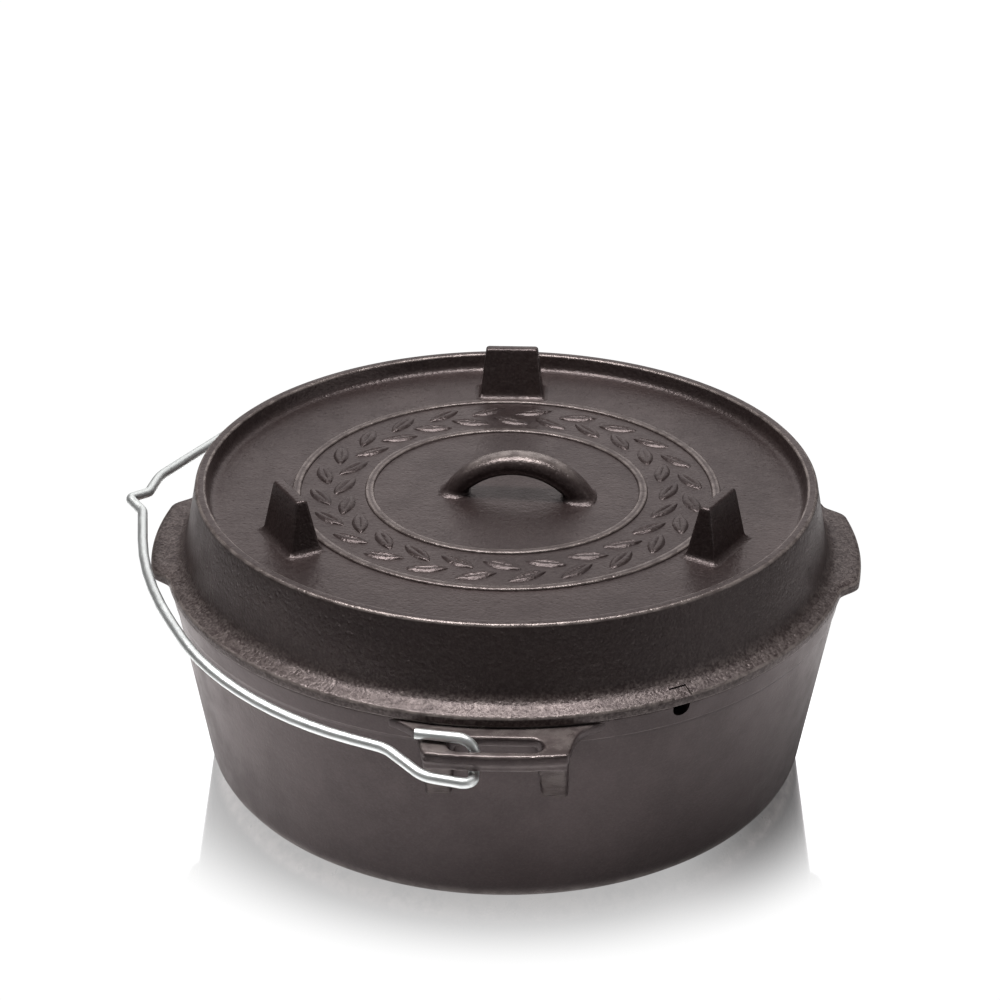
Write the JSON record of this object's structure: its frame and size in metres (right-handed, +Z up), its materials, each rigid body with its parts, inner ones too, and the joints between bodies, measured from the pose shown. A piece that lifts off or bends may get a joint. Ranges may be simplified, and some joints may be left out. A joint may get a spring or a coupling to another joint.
{
  "type": "camp dutch oven",
  "caption": "Flat-based round cast-iron camp oven with a deep flanged lid that turns over onto short legs, slotted ears and a swinging wire bail.",
  "frame": {"origin": "centre of the pot's flat base, on the surface it stands on", "axes": "+Z up along the axis of the pot, the two slotted ears on the Y axis, the lid's grips on the X axis, the bail lying towards -X at rest"},
  "size_m": [0.3349, 0.3636, 0.155],
  "materials": {
    "pot_iron": "seasoned, satin, fine cast grain",
    "lid_iron": "seasoned, satin, cast grain, coarser on the flange",
    "bail_wire": "bright zinc-plated wire"
  },
  "bodies": {
    "pot": {"pot": "pot_iron"},
    "lid": {"lid": "lid_iron", "lid_loop": "lid_iron"},
    "bail": {"bail": "bail_wire"}
  },
  "joints": [
    {"name": "lid_lift", "type": "slide", "parent": "pot", "child": "lid", "axis": [0, 0, 1], "range_m": [0, 0.17]},
    {"name": "bail_swing", "type": "hinge", "parent": "pot", "child": "bail", "pos_m": [-0.0085, 0, 0.08775], "axis": [0, 1, 0], "range_deg": [0, 115]}
  ]
}
